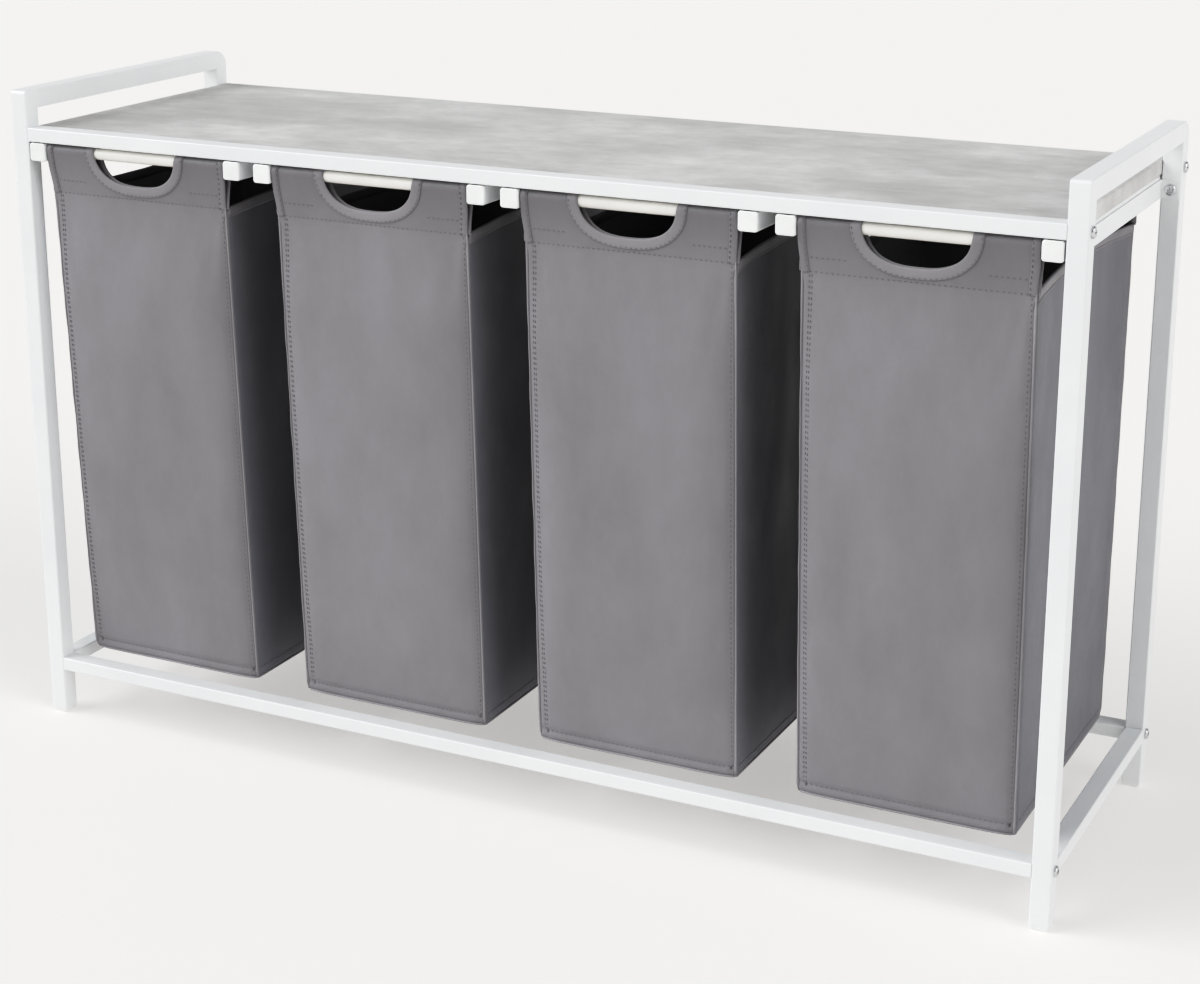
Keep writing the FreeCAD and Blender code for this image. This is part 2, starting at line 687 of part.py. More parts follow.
for side in (LEFT, RIGHT):
    side_frame(side)
    side_strap(side)
    for cell in cells():
        track(cell, side)
        runner(cell, side)
cross_rails()
top_board()
for cell in cells():
    bar(cell, FRONT)
    bar(cell, REAR)
    bag(cell)
    runner_caps(cell)
    bar_pegs(cell)
bolts()
nuts()
glides()
track_screws()
doc.recompute()

failed = [item.Label for item in doc.Objects if {"Invalid", "Error"} & set(item.State)]
failed += [piece.Label for piece in parts if piece.Shape.isNull() or not piece.Shape.isValid()]
if failed:
    raise RuntimeError(f"these did not build: {failed}")

os.makedirs("parts", exist_ok=True)
for piece in parts:
    piece.Shape.exportStep(f"parts/{piece.Label}.step")
print(f"wrote {len(parts)} parts")
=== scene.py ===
"""Looks of a laundry sorter: a white tube frame and a stone-grey board over four pull-out bags.

Every length is in metres, in the CAD's frame: +X along the width, -Y out of the front, +Z up.
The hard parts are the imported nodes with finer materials. Each bag's plain solid gives way to
sewn pieces, whose shapes are worked out here without a simulation.
"""

import json
import math

import bpy
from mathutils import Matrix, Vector, noise


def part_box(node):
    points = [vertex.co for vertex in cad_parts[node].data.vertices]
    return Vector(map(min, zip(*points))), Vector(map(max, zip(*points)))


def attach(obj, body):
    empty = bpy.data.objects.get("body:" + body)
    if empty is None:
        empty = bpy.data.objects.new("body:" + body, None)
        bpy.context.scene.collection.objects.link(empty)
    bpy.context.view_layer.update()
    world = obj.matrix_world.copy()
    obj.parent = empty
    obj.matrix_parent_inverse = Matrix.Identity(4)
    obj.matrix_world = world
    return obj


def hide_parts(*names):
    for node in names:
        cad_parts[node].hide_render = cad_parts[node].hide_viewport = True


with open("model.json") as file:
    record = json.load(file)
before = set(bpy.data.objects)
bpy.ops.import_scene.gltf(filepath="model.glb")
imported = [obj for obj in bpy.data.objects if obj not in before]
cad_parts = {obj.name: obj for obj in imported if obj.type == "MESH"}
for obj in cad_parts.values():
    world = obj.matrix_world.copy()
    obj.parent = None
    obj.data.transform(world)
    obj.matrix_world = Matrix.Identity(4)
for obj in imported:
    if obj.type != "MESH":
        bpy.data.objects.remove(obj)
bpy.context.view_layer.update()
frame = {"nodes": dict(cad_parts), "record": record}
scene = bpy.context.scene
MM = 0.001
BAGS = 4

# a Mix node's sockets when it mixes colours, and a curve map's curve for all channels at once
MIX_FACTOR, MIX_FIRST, MIX_SECOND, MIX_COLOUR = 0, 6, 7, 2
ALL_CHANNELS = 3

# ---------------------------------------------------------------- materials


def shader(name, roughness, **settings):
    """A new material with one Principled shader: the material, its node tree and that shader."""
    material = bpy.data.materials.new(name)
    material.use_nodes = True
    tree = material.node_tree
    surface = tree.nodes["Principled BSDF"]
    surface.inputs["Roughness"].default_value = roughness
    for socket, value in settings.items():
        surface.inputs[socket.replace("_", " ")].default_value = value
    return material, tree, surface


def node(tree, kind, inputs=None, **settings):
    """A shader node. An input is a number, a colour, a tuple or another node's output socket."""
    made = tree.nodes.new(kind)
    for name, value in settings.items():
        setattr(made, name, value)
    for name, value in (inputs or {}).items():
        socket = made.inputs[name]
        if isinstance(value, bpy.types.NodeSocket):
            tree.links.new(value, socket)
        else:
            socket.default_value = value
    return made


def place_of(tree, scale=(1, 1, 1)):
    """The point on the piece in metres, stretched along the axes."""
    spot = node(tree, "ShaderNodeTexCoord").outputs["Object"]
    return node(tree, "ShaderNodeMapping", {"Vector": spot, "Scale": scale}).outputs["Vector"]


def cloud(tree, scale, detail=4.0, roughness=0.5, stretch=(1, 1, 1)):
    """Noise in the range 0 to 1, with so many blobs to the metre."""
    values = {"Scale": scale, "Detail": detail, "Roughness": roughness}
    values["Vector"] = place_of(tree, stretch)
    return node(tree, "ShaderNodeTexNoise", values).outputs["Fac"]


def arithmetic(tree, operation, first, second=0.0):
    """One sum on two numbers or sockets."""
    return node(tree, "ShaderNodeMath", {0: first, 1: second}, operation=operation).outputs[0]


def ramp(tree, factor, tones):
    """A colour ramp from (position, colour) tones."""
    made = node(tree, "ShaderNodeValToRGB", {"Fac": factor})
    while len(made.color_ramp.elements) < len(tones):
        made.color_ramp.elements.new(0.5)
    for element, (position, colour) in zip(made.color_ramp.elements, tones):
        element.position = position
        element.color = (*colour, 1)
    return made.outputs["Color"]


def tint(tree, base, other, factor):
    """Mixes two colours, each a tuple or a socket, by a factor."""
    made = node(tree, "ShaderNodeMix", data_type="RGBA")
    for index, value in ((MIX_FACTOR, factor), (MIX_FIRST, base), (MIX_SECOND, other)):
        if isinstance(value, bpy.types.NodeSocket):
            tree.links.new(value, made.inputs[index])
        else:
            made.inputs[index].default_value = (*value, 1) if isinstance(value, tuple) else value
    return made.outputs[MIX_COLOUR]


def times(amount, colour):
    """A colour made darker or lighter."""
    return tuple(amount * channel for channel in colour)


def span(tree, value, low, high, to_low=0.0, to_high=1.0):
    """Maps a range of a number onto another range, and holds it at the ends."""
    ends = {"From Min": low, "From Max": high, "To Min": to_low, "To Max": to_high}
    return node(tree, "ShaderNodeMapRange", {"Value": value, **ends}).outputs["Result"]


def relief(tree, surface, *layers):
    """Bumps, each a (height socket, depth in metres) pair, one on another."""
    normal = None
    for height, depth in layers:
        inputs = {"Height": height, "Distance": depth, "Strength": 1.0}
        if normal:
            inputs["Normal"] = normal
        normal = node(tree, "ShaderNodeBump", inputs).outputs["Normal"]
    tree.links.new(normal, surface.inputs["Normal"])


def powder_coat():
    """White satin powder coat: fine orange peel, a cool cast, and dust-grey handling marks."""
    material, tree, surface = shader("powder_coat", 0.36, Coat_Weight=0.15, Coat_Roughness=0.3)
    patches = cloud(tree, 7, 5, 0.6)
    colour = ramp(tree, patches, [(0.3, (0.755, 0.768, 0.778)), (0.62, (0.80, 0.811, 0.815))])
    marks = span(tree, cloud(tree, 60, 8, 0.7, (1, 1, 0.2)), 0.62, 0.78, 0, 0.25)
    tree.links.new(tint(tree, colour, (0.68, 0.68, 0.66), marks), surface.inputs["Base Color"])
    tree.links.new(span(tree, cloud(tree, 25, 4), 0.3, 0.7, 0.3, 0.44), surface.inputs["Roughness"])
    relief(tree, surface, (cloud(tree, 900, 2), 0.06 * MM), (cloud(tree, 160, 3), 0.12 * MM))
    return material


def stone_laminate():
    """Grey cement-look laminate: soft clouds, long faint streaks, pale flecks and a matt grain."""
    material, tree, surface = shader("stone_laminate", 0.5)
    clouds = cloud(tree, 5.5, 9, 0.62, (1, 1.5, 1.5))
    base = ramp(tree, clouds, [
        (0.34, (0.38, 0.373, 0.365)), (0.45, (0.46, 0.453, 0.445)), (0.54, (0.56, 0.553, 0.545)),
        (0.66, (0.68, 0.672, 0.66)),
    ])
    streaks = span(tree, cloud(tree, 9, 7, 0.65, (0.35, 3.2, 3)), 0.42, 0.66, 0, 0.4)
    base = tint(tree, base, (0.63, 0.622, 0.612), streaks)
    mottle = span(tree, cloud(tree, 38, 8, 0.7, (0.8, 1.2, 1)), 0.36, 0.62, 0.45, 0)
    base = tint(tree, base, (0.415, 0.405, 0.395), mottle)
    veins = span(tree, cloud(tree, 22, 10, 0.72, (0.6, 1.3, 1)), 0.56, 0.7, 0, 0.3)
    base = tint(tree, base, (0.36, 0.355, 0.36), veins)
    flecks = span(tree, cloud(tree, 420, 3, 0.6), 0.6, 0.75, 0, 0.35)
    base = tint(tree, base, (0.72, 0.72, 0.715), flecks)
    tree.links.new(base, surface.inputs["Base Color"])
    tree.links.new(span(tree, clouds, 0.3, 0.7, 0.42, 0.6), surface.inputs["Roughness"])
    grain, waves = cloud(tree, 1500, 3, 0.7), cloud(tree, 60, 6, 0.7)
    relief(tree, surface, (grain, 0.05 * MM), (waves, 0.2 * MM))
    return material


def moulded(name, colour, roughness):
    """Moulded plastic or smooth paint: a hint of mottle and of flow."""
    material, tree, surface = shader(name, roughness, Coat_Weight=0.1, Coat_Roughness=0.4)
    shade = span(tree, cloud(tree, 40, 5), 0.35, 0.65)
    mottled = tint(tree, times(0.93, colour), colour, shade)
    tree.links.new(mottled, surface.inputs["Base Color"])
    spread = (0.3, 0.7, roughness - 0.06, roughness + 0.06)
    tree.links.new(span(tree, cloud(tree, 90, 4), *spread), surface.inputs["Roughness"])
    relief(tree, surface, (cloud(tree, 1200, 2), 0.04 * MM))
    return material


def metal(name, colour, roughness, brushed):
    """Zinc-plated or rolled steel: faint spangle, and brushing along Y where it is rolled."""
    material, tree, surface = shader(name, roughness, Metallic=1.0)
    stretch = (1, 0.02, 1) if brushed else (1, 1, 1)
    grain = cloud(tree, 700 if brushed else 260, 5, 0.6, stretch)
    spangled = tint(tree, times(0.72, colour), colour, span(tree, grain, 0.35, 0.65))
    tree.links.new(spangled, surface.inputs["Base Color"])
    spread = (0.3, 0.7, roughness - 0.08, roughness + 0.1)
    tree.links.new(span(tree, grain, *spread), surface.inputs["Roughness"])
    relief(tree, surface, (grain, 0.03 * MM))
    return material


# the threads' spacing in the cloth, and the heights over which painted shade darkens it under the
# board
WEAVE_PITCH = 0.7 * MM
PAINTED_SHADE_HEIGHTS = (602 * MM, 660 * MM)


def weave(tree, pitch):
    """Plain weave as a height: threads run up and along a panel, whichever way it faces."""
    spot = node(tree, "ShaderNodeTexCoord").outputs["Object"]
    x, y, z = node(tree, "ShaderNodeSeparateXYZ", {"Vector": spot}).outputs
    along = arithmetic(tree, "ADD", x, y)
    turns = math.pi / pitch
    warp = arithmetic(tree, "SINE", arithmetic(tree, "MULTIPLY", along, turns))
    weft = arithmetic(tree, "SINE", arithmetic(tree, "MULTIPLY", z, turns))
    crossing = arithmetic(tree, "MULTIPLY", warp, weft)
    up, level = arithmetic(tree, "ABSOLUTE", warp), arithmetic(tree, "ABSOLUTE", weft)
    threads = arithmetic(tree, "ADD", up, level)
    return arithmetic(tree, "ADD", arithmetic(tree, "MULTIPLY", threads, 0.5), crossing)


def coated_fabric(name, light, dark, roughness, gloss=0.5):
    """Coated polyester: a fine weave under a satin film, with paler rubs, and painted shade towards
    the top, under the board.
    """
    material, tree, surface = shader(
        name, roughness, Sheen_Weight=0.06, Sheen_Roughness=0.45, Specular_IOR_Level=gloss
    )
    patches = cloud(tree, 9, 9, 0.68, (1, 1, 0.5))
    colour = tint(tree, dark, light, span(tree, patches, 0.3, 0.66))
    threads = weave(tree, WEAVE_PITCH)
    gaps = span(tree, threads, 0.1, -0.9, 0, 0.3)
    colour = tint(tree, colour, times(0.8, dark), gaps)
    rubs = span(tree, cloud(tree, 60, 8, 0.75, (1, 1, 0.4)), 0.56, 0.76, 0, 0.16)
    colour = tint(tree, colour, times(1.22, light), rubs)
    # painted shade: the colour darkens with height towards the board above, standing in for the
    # shadow it casts
    spot = node(tree, "ShaderNodeTexCoord").outputs["Object"]
    height = node(tree, "ShaderNodeSeparateXYZ", {"Vector": spot}).outputs["Z"]
    shade = span(tree, height, *PAINTED_SHADE_HEIGHTS, 0, 0.5)
    colour = tint(tree, colour, times(0.55, dark), shade)
    tree.links.new(colour, surface.inputs["Base Color"])
    spread = (0.3, 0.7, roughness - 0.07, roughness + 0.08)
    tree.links.new(span(tree, cloud(tree, 14, 6, 0.6), *spread), surface.inputs["Roughness"])
    crinkle, dents = cloud(tree, 220, 5, 0.6), cloud(tree, 18, 4)
    relief(tree, surface, (threads, 0.05 * MM), (crinkle, 0.12 * MM), (dents, 1.2 * MM))
    return material


def thread(name, colour):
    """Sewing thread: twisted plies."""
    material, tree, surface = shader(name, 0.6, Sheen_Weight=0.3)
    plies = cloud(tree, 2500, 2)
    twisted = tint(tree, times(0.75, colour), colour, plies)
    tree.links.new(twisted, surface.inputs["Base Color"])
    relief(tree, surface, (plies, 0.1 * MM))
    return material


FABRIC = coated_fabric(
    "bag_coated_fabric", light=(0.250, 0.241, 0.257), dark=(0.206, 0.198, 0.208), roughness=0.42
)
# painted shade: the side panels are the same cloth as the fronts, coloured darker and bluer as if
# in shade
SHADED_SIDE_FABRIC = coated_fabric(
    "bag_side_fabric_shaded", light=(0.198, 0.198, 0.220), dark=(0.169, 0.167, 0.184), roughness=0.5,
    gloss=0.25,
)
BINDING = coated_fabric(
    "bag_binding_fabric", light=(0.320, 0.310, 0.325), dark=(0.275, 0.265, 0.276), roughness=0.55,
    gloss=0.3,
)
LINING = coated_fabric(
    "bag_lining", light=(0.34, 0.34, 0.35), dark=(0.28, 0.28, 0.29), roughness=0.42, gloss=0.3
)
THREAD = thread("bag_thread", (0.165, 0.16, 0.178))
FINISHES = {
    "white_frame": powder_coat(),
    "stone_board": stone_laminate(),
    "white_plastic": moulded("white_plastic", (0.84, 0.85, 0.84), 0.42),
    "cream_tube": moulded("cream_tube", (0.80, 0.785, 0.74), 0.34),
    "zinc_steel": metal("zinc_steel", (0.72, 0.73, 0.74), 0.28, brushed=False),
    "track_steel": metal("track_steel", (0.62, 0.63, 0.64), 0.38, brushed=True),
}

for part in frame["record"]["subparts"]:
    finish = FINISHES.get(part["material_slot"], FABRIC)
    materials = frame["nodes"][part["node"]].data.materials
    materials.clear()
    materials.append(finish)

# ---------------------------------------------------------------- bags

# the two ends and sides of a bag, as signs along Y and X
FRONT, REAR = -1, 1
LEFT, RIGHT = -1, 1
ENDS, SIDES = (FRONT, REAR), (LEFT, RIGHT)

# heights above the floor: the seam under a sleeve, the stitches above it, and a sleeve's start
SLEEVE_SEAM = 612 * MM
UPPER_SEAM = 626 * MM
FOLD_START = 598 * MM

# the cloth's thickness, and how far behind the bag's front or rear its corners stand,
# at the floor and at the seam
CLOTH = 1.2 * MM
FLOOR_BACK = {FRONT: 27.5 * MM, REAR: 14 * MM}
SEAM_BACK = 6 * MM

# how much narrower the walls are than the sleeves, and how far up that goes on
NARROWING = 2.5 * MM
SHOULDER = 34 * MM

# the corners between two walls, and how far up a sleeve they end
CORNER = 3 * MM
CORNER_END = 14 * MM

# the floor: the walls' curve into it, its rounded edge, and its sag
TUCK = 5.5 * MM
BASE_ROUND = 2 * MM
HALF_DEPTH = 160 * MM
FLOOR_SAG = 3 * MM

# how a front or rear panel stands out from its edges, and its belly, from the first bag's
# to the last bag's
STAND_OUT = 9 * MM
STAND_OUT_AT_FLOOR = 0.3
STAND_OUT_RATE = 3
STAND_OUT_FADE = 110 * MM
TURN_START = 0.6
TURN_POWER = 3
FLATTEST = 1 * MM
FULLEST = 11 * MM

# soft folds: how many to the metre along and up, how far apart in the noise two panels and
# two bags lie, and how deep the folds are
BROAD_FOLDS = (8, 3.2, 7.3, 3.1, 2.4 * MM)
SMALL_FOLDS = (26, 9, 5.7, 1.7, 0.8 * MM)

# how quickly folds begin inside a panel's edges, above the floor and below the bar
CALM_POWER = 6
CALM_RATE = 7
SIDE_CALM_RATE = 8
CALM_BELOW_BAR = 75 * MM

# the creases that pull from a sleeve's ends: how deep they are, where, how steep and how wide,
# and the height they begin at
PULL = 1.3 * MM
PULL_SHARE = 0.93
PULL_SLOPE = 1.9
PULL_WIDE = 0.07
PULL_FROM = 480 * MM
PULL_RISE = 100 * MM

# the side panels: their top edge's rise, their bow inwards at the top and half way up, and
# their folds against a front's
RIM_RISE = 3 * MM
SIDE_BOW = 11 * MM
SIDE_HOLLOW = 3 * MM
SIDE_FOLDS = 1.7
SIDE_SEED = 4

# the hand holes, superellipses on the sleeves' cloth
HOLE_HALF = 53.5 * MM
HOLE_DEEP = 44 * MM
HOLE_POWER = 2.6

# how finely the meshes are divided
HOLE_STEPS = 120
HOLE_COLUMNS = 28
SEAM_BAND = 24 * MM
SEAM_COLUMNS = 17
PLAIN_COLUMNS = 8
SIDE_COLUMNS = 33
BASE_SHARE = 0.05
BASE_ROWS = 15
WALL_ROWS = 60
OUTER_ROWS = 25
INNER_ROWS = 23
SEAM_STEPS = 70
BASE_STEPS = 40
LINE_STEPS = 60
SHORT_LINE_STEPS = 30

# stitches: their size, and each one's way, rise in millimetres and swell from end to end
STITCH = 2.8 * MM
STITCH_GAP = 2.6 * MM
THREAD_WIDE = 0.7 * MM
STITCH_PROFILE = ((0, -0.25, 0.5), (0.2, 0.22, 1), (0.8, 0.22, 1), (1, -0.25, 0.5))

# how far their rows run from an edge or a row's ends stop from it, and how proud of the cloth
# they lie
EDGE_STITCH = {LEFT: 9 * MM, RIGHT: 4.5 * MM}
EDGE_ROWS = {LEFT: (-1.3 * MM, 1.3 * MM), RIGHT: (0,)}
BASE_STITCH = 12 * MM
HEM_STITCH = 8 * MM
BINDING_STITCH = 8.5 * MM
SLEEVE_STITCH = 6.5 * MM
SEAM_END = 2 * MM
UPPER_END = 4 * MM
UPPER_HOLE_END = 14 * MM
ON_CLOTH = 0.1 * MM
ON_SLEEVE_HEM = 0.9 * MM
ON_HEM = 1.1 * MM
ON_BINDING = 1.1 * MM

# the bar tacks at the two lower corners of a front or rear panel
TACK_ROWS = 4
TACK_STEP = 0.8 * MM
TACK_IN = 2.5 * MM
TACK_OUT = 1.5 * MM

# how wide and deep the stitches draw the cloth in
GROOVE_WIDE = 3 * MM
EDGE_GROOVE = {LEFT: 0.3 * MM, RIGHT: 1.1 * MM}
EDGE_GROOVE_FADE = 20 * MM
BASE_GROOVE = 1.3 * MM
SEAM_GROOVE = 0.35 * MM


def smooth(value):
    """A smooth step from 0 to 1."""
    value = min(1, max(0, value))
    return value * value * (3 - 2 * value)


def mix(first, second, share):
    """A value part of the way from one to another."""
    return first + (second - first) * share


def stops(low, high, count):
    """Evenly spaced numbers, both ends included."""
    return [mix(low, high, k / (count - 1)) for k in range(count)]


def groove(away, deep):
    """The depth of a soft groove at a distance from its middle."""
    return deep * math.exp(-(away / GROOVE_WIDE) ** 2)


class Bag:
    """The cloth shape of one bag: where each point of a panel is."""

    def __init__(self, number):
        self.number = number
        self.body = f"bag_unit_{number}"
        low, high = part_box(f"laundry_bag_{number}")
        self.middle = (low.x + high.x) / 2
        self.half = (high.x - low.x) / 2
        self.floor = low.z
        self.face = {FRONT: low.y, REAR: high.y}
        self.bars = {}
        for end, name in ((FRONT, "front"), (REAR, "rear")):
            bar_low, bar_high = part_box(f"{name}_bar_{number}")
            self.bars[end] = (bar_low + bar_high) / 2
        self.bar_z = self.bars[FRONT].z
        self.fold = high.z - self.bar_z
        self.straight = self.bar_z - FOLD_START
        self.crest = self.straight + self.fold * math.pi / 2
        self.sleeve_end = self.straight + self.fold * math.pi + self.bar_z - SLEEVE_SEAM

    def tuck(self, z):
        """How far the walls curve in where they meet the floor."""
        rise = min(TUCK, max(0, z - self.floor))
        return TUCK - math.sqrt(TUCK ** 2 - (TUCK - rise) ** 2)

    def width(self, z):
        """Half the width of the front and rear panels at a height."""
        return self.half - self.tuck(z) - NARROWING * (1 - smooth((z - SLEEVE_SEAM) / SHOULDER))

    def stand_out(self, z):
        """How far a panel's middle stands out from its two edges, below the sleeve."""
        rise = min(1, max(0, (z - self.floor) / (SLEEVE_SEAM - self.floor)))
        far = STAND_OUT * mix(STAND_OUT_AT_FLOOR, 1, smooth(rise * STAND_OUT_RATE))
        return far * smooth((SLEEVE_SEAM - z) / STAND_OUT_FADE)

    def end_y(self, end, z):
        """Where the edges of the front or rear panel stand at a height."""
        if z >= SLEEVE_SEAM:
            back = SEAM_BACK * max(0, 1 - (z - SLEEVE_SEAM) / (self.bar_z - SLEEVE_SEAM))
        else:
            back = mix(FLOOR_BACK[end], SEAM_BACK, (z - self.floor) / (SLEEVE_SEAM - self.floor))
        return self.face[end] - end * (back + self.tuck(z))

    def ripple(self, along, z, seed):
        """Soft folds in the cloth, broad and small, that are the same each time."""
        total = 0
        for rate, rate_up, panel_step, bag_step, deep in (BROAD_FOLDS, SMALL_FOLDS):
            spot = Vector((along * rate, seed * panel_step + self.number * bag_step, z * rate_up))
            total += deep * noise.noise(spot)
        return total

    def end_point(self, end, x, z):
        """A point on the front or rear panel, which is a little fuller from bag to bag."""
        share = x / self.width(z)
        rise = (z - self.floor) / (SLEEVE_SEAM - self.floor)
        calm = (1 - share ** CALM_POWER) * smooth(rise * CALM_RATE)
        calm *= smooth((self.bar_z - z) / CALM_BELOW_BAR)
        belly = mix(FLATTEST, FULLEST, (self.number - 1) / (BAGS - 1))
        belly *= (1 - share * share) * math.sin(math.pi * smooth(min(1, rise)))
        drag = abs(abs(share) - PULL_SHARE + (SLEEVE_SEAM - z) * PULL_SLOPE) / PULL_WIDE
        pull = PULL * math.exp(-drag * drag) * smooth((z - PULL_FROM) / PULL_RISE)
        turned = max(0, (abs(share) - TURN_START) / (1 - TURN_START)) ** TURN_POWER
        inward = calm * (self.ripple(x, z, end) + pull) - belly - self.stand_out(z) * (1 - turned)
        inward += self.grooves(x, z)
        return Vector((self.middle + x, self.end_y(end, z) - end * inward, z))

    def grooves(self, x, z):
        """How deep the stitch lines draw the cloth in, at the edges, the floor and the seam."""
        side = LEFT if x < 0 else RIGHT
        edge = groove(self.width(z) - abs(x) - EDGE_STITCH[side], EDGE_GROOVE[side])
        edge *= smooth((SLEEVE_SEAM - z) / EDGE_GROOVE_FADE)
        base = groove(z - self.floor - BASE_STITCH, BASE_GROOVE)
        return edge + base + groove(z - SLEEVE_SEAM, SEAM_GROOVE)

    def side_point(self, side, share, z):
        """A point on a side panel: share runs from -1 at the front to 1 at the rear."""
        y = mix(self.end_y(FRONT, z) + CORNER, self.end_y(REAR, z) - CORNER, (share + 1) / 2)
        rise = max(0, (z - self.floor) / (SLEEVE_SEAM - self.floor))
        hollow = SIDE_HOLLOW * math.sin(math.pi * min(1, rise))
        bow = (1 - share * share) * (SIDE_BOW * rise ** 1.5 + hollow)
        calm = (1 - share ** CALM_POWER) * smooth(rise * SIDE_CALM_RATE)
        inward = bow + calm * SIDE_FOLDS * self.ripple(y, z, SIDE_SEED + side)
        return Vector((self.middle + side * (self.width(z) - inward), y, z))

    def rim(self, share):
        """The height of a side panel's top edge, which is a little higher in the middle."""
        return SLEEVE_SEAM + RIM_RISE * (1 - share * share)

    def sleeve(self, end, x, path, out=0.0):
        """A point on a sleeve: path goes up from FOLD_START, over the bar and down inside."""
        over = (path - self.straight) / self.fold
        z = min(self.bar_z, FOLD_START + path)
        corner = CORNER * (1 - smooth(path / CORNER_END))
        x = x * (self.width(z) - corner) / self.half
        if over <= 0:
            return self.end_point(end, x, z) + Vector((0, end * out, 0))
        bar = self.bars[end]
        if over <= math.pi:
            radius = self.fold + out
            y = bar.y + end * math.cos(over) * radius
            return Vector((self.middle + x, y, bar.z + math.sin(over) * radius))
        fall = path - self.straight - self.fold * math.pi
        share = smooth(fall / (self.bar_z - SLEEVE_SEAM))
        sewn = self.end_point(end, x, SLEEVE_SEAM).y - end * 2 * CLOTH
        y = mix(bar.y - end * self.fold, sewn, share) - end * out
        return Vector((self.middle + x, y, bar.z - fall))


def add_piece(name, bag, vertices, faces, material, thick=0.0):
    """Makes a mesh that rides with its bag, with the cloth's thickness inward if asked."""
    mesh = bpy.data.meshes.new(f"{name}_{bag.number}")
    mesh.from_pydata([tuple(v) for v in vertices], [], faces)
    mesh.materials.append(material)
    mesh.polygons.foreach_set("use_smooth", [True] * len(mesh.polygons))
    made = bpy.data.objects.new(mesh.name, mesh)
    scene.collection.objects.link(made)
    if thick:
        cloth = made.modifiers.new("thickness", "SOLIDIFY")
        cloth.thickness = thick
        cloth.offset = -1
    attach(made, bag.body)
    return made


def quads(rows):
    """Quads between rows of point numbers."""
    return [
        (lower[k], lower[k + 1], upper[k + 1], upper[k])
        for lower, upper in zip(rows, rows[1:]) for k in range(len(lower) - 1)
    ]


def hole_rise(x):
    """How far below a sleeve's crest the hand hole's edge is, along the cloth."""
    return HOLE_DEEP * max(0, 1 - abs(x / HOLE_HALF) ** HOLE_POWER) ** (1 / HOLE_POWER)


def end_columns(bag):
    """Where a front or rear panel's columns are: closest by its seams and the hole's ends."""
    turns = stops(0, math.pi, HOLE_COLUMNS + 1)
    hole = [-HOLE_HALF * math.cos(turn) for turn in turns]
    seam = -bag.half + SEAM_BAND
    edge = stops(-bag.half, seam, SEAM_COLUMNS)[:-1]
    edge += stops(seam, -HOLE_HALF, PLAIN_COLUMNS)[:-1]
    return edge + hole + [-x for x in reversed(edge)]


def sleeve_rows(bag, end, columns, points, first):
    """Carries a panel on from its top row, over the bar, round the hole, and down to the seam."""
    rows = [first]
    for t in stops(0, 1, OUTER_ROWS)[1:]:
        row = []
        for x in columns:
            row.append(len(points))
            points.append(bag.sleeve(end, x, t * (bag.crest - hole_rise(x))))
        rows.append(row)
    inner = [rows[-1][:]]
    for k, x in enumerate(columns):
        if hole_rise(x) > 0.1 * MM:
            inner[0][k] = len(points)
            points.append(bag.sleeve(end, x, bag.crest + hole_rise(x)))
    for t in stops(0, 1, INNER_ROWS)[1:]:
        row = []
        for x in columns:
            start = bag.crest + hole_rise(x)
            row.append(len(points))
            points.append(bag.sleeve(end, x, mix(start, bag.sleeve_end, t)))
        inner.append(row)
    return quads(rows) + quads(inner)


def floor_faces(bag, columns, shares, points, ring):
    """Closes the shell with a floor that sags a little, its corners turned under."""
    across, deep = len(columns), len(shares)
    front, right = ring[:across], ring[across:across + deep]
    rear, left = ring[across + deep:2 * across + deep][::-1], ring[2 * across + deep:][::-1]
    middle_y = mix(bag.face[FRONT], bag.face[REAR], 0.5)
    inner = []
    for v, left_end, right_end in zip(shares, left, right):
        row = []
        for column, front_end in zip(columns, front):
            u = column / bag.half
            x = bag.middle + (points[front_end].x - bag.middle) * (1 - BASE_ROUND / bag.half)
            y = mix(points[left_end].y, points[right_end].y, (u + 1) / 2)
            y = mix(y, middle_y, BASE_ROUND / HALF_DEPTH)
            sag = FLOOR_SAG * (1 - u * u) * (1 - v * v)
            row.append(len(points))
            points.append(Vector((x, y, bag.floor - sag)))
        inner.append(row)
    faces = [face[::-1] for face in quads(inner)]
    faces += quads([inner[0], front])
    faces += quads([rear, inner[-1]])
    faces += quads([[row[0] for row in inner][::-1], left[::-1]])
    faces += quads([[row[-1] for row in inner], right])
    faces.append((inner[0][0], front[0], left[0]))
    faces.append((inner[0][-1], right[0], front[-1]))
    faces.append((inner[-1][-1], rear[-1], right[-1]))
    faces.append((inner[-1][0], left[-1], rear[0]))
    return faces


def side_spot(bag, side, share, t):
    """A point on a side panel, t of the way up to its top edge."""
    return bag.side_point(side, share, mix(bag.floor + BASE_ROUND, bag.rim(share), t))


# a shell's materials: a face has FRONT_SLOT or SIDE_SLOT, and its inner side the one after
SHELL_MATERIALS = (FABRIC, LINING, SHADED_SIDE_FABRIC, LINING)
FRONT_SLOT, SIDE_SLOT = 0, 2


